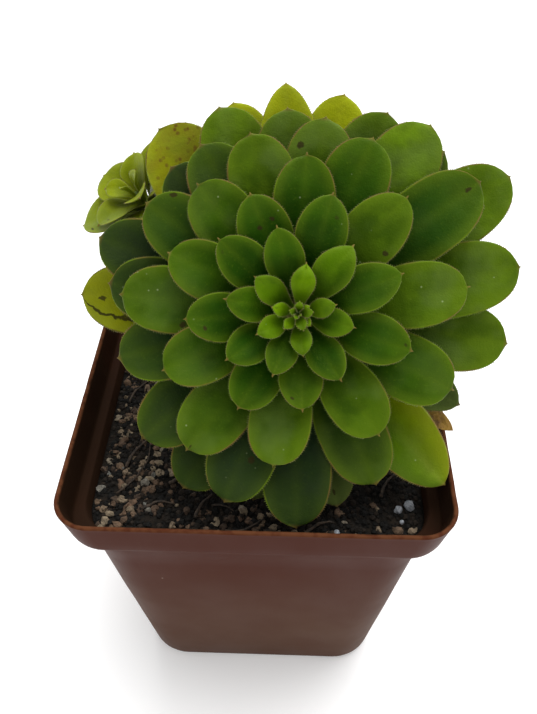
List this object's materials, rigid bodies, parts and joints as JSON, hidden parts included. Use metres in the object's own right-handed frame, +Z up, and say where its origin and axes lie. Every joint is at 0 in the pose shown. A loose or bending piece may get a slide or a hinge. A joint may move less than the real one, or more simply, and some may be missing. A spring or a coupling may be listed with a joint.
{
  "type": "potted rosette succulent",
  "caption": "Rosette succulent leaning out of a tapered square plastic pot with a collar, with soil, a bare stem, spiral leaves and a small offset rosette.",
  "frame": {"origin": "middle of the flat underside of the pot", "axes": "+Z up, out of the flat underside; -Y is the side that the rosette leans towards; +X to the right seen from there"},
  "size_m": [0.1153, 0.1, 0.1683],
  "materials": {
    "pot_plastic": "reddish brown moulded plastic with a soft sheen",
    "potting_mix": "dark moist mix with tan and grey grit",
    "stem_bark": "brown bark with leaf scars",
    "young_leaf": "bright green flesh with a soft sheen",
    "green_leaf": "mid green flesh with a soft sheen and a pale margin",
    "old_green_leaf": "dark green flesh with a soft sheen and a pale margin",
    "yellow_leaf": "yellow-green flesh with brown spots",
    "dried_leaf": "dry ochre skin, curled"
  },
  "bodies": {
    "root": {"pot": "pot_plastic", "soil": "potting_mix", "stem": "stem_bark", "offset_stem": "stem_bark", "heart": "young_leaf", "offset_rosette": "young_leaf", "leaf_19": "young_leaf", "leaf_20": "young_leaf", "leaf_21": "young_leaf", "leaf_22": "young_leaf", "leaf_23": "young_leaf", "leaf_24": "young_leaf", "leaf_25": "young_leaf", "leaf_26": "young_leaf", "leaf_28": "young_leaf", "leaf_29": "young_leaf", "leaf_30": "young_leaf", "leaf_31": "young_leaf", "leaf_32": "young_leaf", "leaf_33": "green_leaf", "leaf_34": "green_leaf", "leaf_35": "green_leaf", "leaf_36": "green_leaf", "leaf_37": "green_leaf", "leaf_38": "green_leaf", "leaf_39": "green_leaf", "leaf_40": "green_leaf", "leaf_42": "green_leaf", "leaf_43": "green_leaf", "leaf_44": "green_leaf", "leaf_47": "green_leaf", "leaf_48": "green_leaf", "leaf_49": "green_leaf", "leaf_51": "green_leaf", "leaf_52": "old_green_leaf", "leaf_53": "old_green_leaf", "leaf_54": "old_green_leaf", "leaf_55": "old_green_leaf", "leaf_56": "old_green_leaf", "leaf_57": "old_green_leaf", "leaf_58": "old_green_leaf", "leaf_59": "old_green_leaf", "leaf_60": "old_green_leaf", "leaf_62": "old_green_leaf", "leaf_63": "old_green_leaf", "leaf_65": "old_green_leaf", "leaf_66": "old_green_leaf", "low_leaf_front": "old_green_leaf", "low_leaf_left": "old_green_leaf", "low_leaf_right": "old_green_leaf", "grey_leaf": "old_green_leaf", "broad_leaf": "yellow_leaf", "yellow_leaf": "yellow_leaf", "speckled_leaf": "yellow_leaf", "pale_leaf_middle": "yellow_leaf", "pale_leaf_left": "yellow_leaf", "pale_leaf_right": "yellow_leaf", "dried_leaf": "dried_leaf"}
  },
  "joints": []
}
